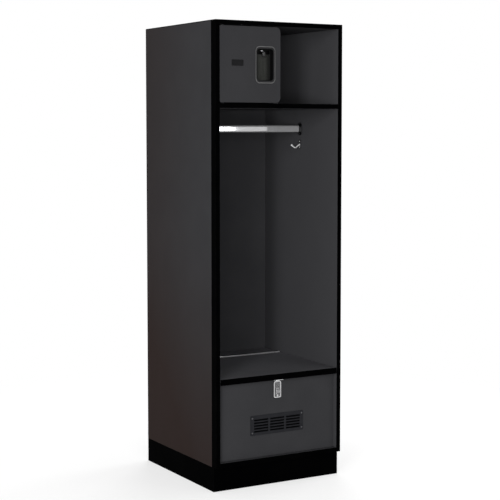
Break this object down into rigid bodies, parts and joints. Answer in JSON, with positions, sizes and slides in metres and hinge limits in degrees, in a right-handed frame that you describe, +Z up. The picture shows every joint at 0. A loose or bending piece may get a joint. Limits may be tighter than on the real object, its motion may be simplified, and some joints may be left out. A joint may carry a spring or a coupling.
{
  "type": "open-front wood locker",
  "caption": "Open-front wood locker with a small hinged security door, oval coat rod and hooks, and a hinged seat over a vented foot locker with a hasp.",
  "frame": {"origin": "on the floor under the middle of the plan of the bounding box", "axes": "+Z up, width along X, the open front faces -Y"},
  "size_m": [0.61, 0.64, 1.93],
  "materials": {
    "grey_laminate": "satin laminate skin on board",
    "black_laminate": "satin laminate skin on board",
    "black_banding": "satin edge band",
    "grey_batten": "matt laminate skin on board",
    "chrome_plate": "bright plated",
    "zinc_plated_steel": "zinc plated",
    "cup_plastic": "fine moulded grain",
    "black_plastic": "satin moulded",
    "dark_nylon": "plain moulded",
    "blackened_steel": "blackened",
    "dark_rubber": "matt"
  },
  "bodies": {
    "cabinet": {"side_panel_left": "grey_laminate", "side_panel_right": "grey_laminate", "side_edge_band_left": "black_banding", "side_edge_band_right": "black_banding", "front_trim_left": "black_banding", "front_trim_right": "black_banding", "top_panel": "grey_laminate", "top_edge_band": "black_banding", "bottom_panel": "grey_laminate", "bottom_edge_band": "black_banding", "back_panel": "grey_laminate", "hanging_rail_upper": "grey_batten", "hanging_rail_lower": "grey_batten", "upper_shelf": "grey_laminate", "shelf_edge_band": "black_banding", "security_divider": "grey_laminate", "footlocker_front": "grey_laminate", "seat_rear_strip": "grey_laminate", "seat_cleat_left": "grey_batten", "seat_cleat_right": "grey_batten", "seat_cleat_rear": "grey_batten", "seat_bumper_left": "dark_rubber", "seat_bumper_right": "dark_rubber", "plinth_front": "black_laminate", "plinth_left": "black_laminate", "plinth_right": "black_laminate", "plinth_back": "black_laminate", "coat_rod": "chrome_plate", "rod_flange_left": "chrome_plate", "rod_flange_right": "chrome_plate", "coat_hook_left": "chrome_plate", "coat_hook_right": "chrome_plate", "vent_grille": "black_plastic", "vent_screw_1": "zinc_plated_steel", "vent_screw_2": "zinc_plated_steel", "vent_screw_3": "zinc_plated_steel", "vent_screw_4": "zinc_plated_steel", "hasp_staple": "chrome_plate", "latch_keeper": "zinc_plated_steel", "pivot_bush_upper": "dark_nylon", "pivot_bush_lower": "dark_nylon", "door_bumper_lower": "dark_rubber", "door_bumper_upper": "dark_rubber", "hinge_fixed_leaf": "chrome_plate", "hinge_pin": "zinc_plated_steel"},
    "security_door": {"security_door_panel": "grey_laminate", "latch_cup": "cup_plastic", "number_plate": "black_plastic", "pivot_pin_upper": "blackened_steel", "pivot_pin_lower": "blackened_steel", "latch_guide_upper": "zinc_plated_steel", "latch_guide_lower": "zinc_plated_steel"},
    "latch": {"latch_slide": "zinc_plated_steel", "latch_trigger": "zinc_plated_steel"},
    "seat_lid": {"seat_lid_panel": "grey_laminate", "seat_edge_band": "black_banding", "hinge_moving_leaf": "chrome_plate", "hasp_leaf": "chrome_plate", "hasp_pin": "zinc_plated_steel"},
    "hasp": {"hasp_strap": "chrome_plate"}
  },
  "joints": [
    {"name": "security_door_hinge", "type": "hinge", "parent": "cabinet", "child": "security_door", "pos_m": [-0.269, -0.3105, 1.7535], "axis": [0, 0, -1], "range_deg": [0, 120]},
    {"name": "latch_lift", "type": "slide", "parent": "security_door", "child": "latch", "axis": [0, 0, 1], "range_m": [0, 0.006]},
    {"name": "seat_lid_hinge", "type": "hinge", "parent": "cabinet", "child": "seat_lid", "pos_m": [0, 0.1467, 0.4724], "axis": [-1, 0, 0], "range_deg": [0, 106]},
    {"name": "hasp_hinge", "type": "hinge", "parent": "seat_lid", "child": "hasp", "pos_m": [0, -0.2995, 0.4412], "axis": [-1, 0, 0], "range_deg": [0, 80]}
  ]
}
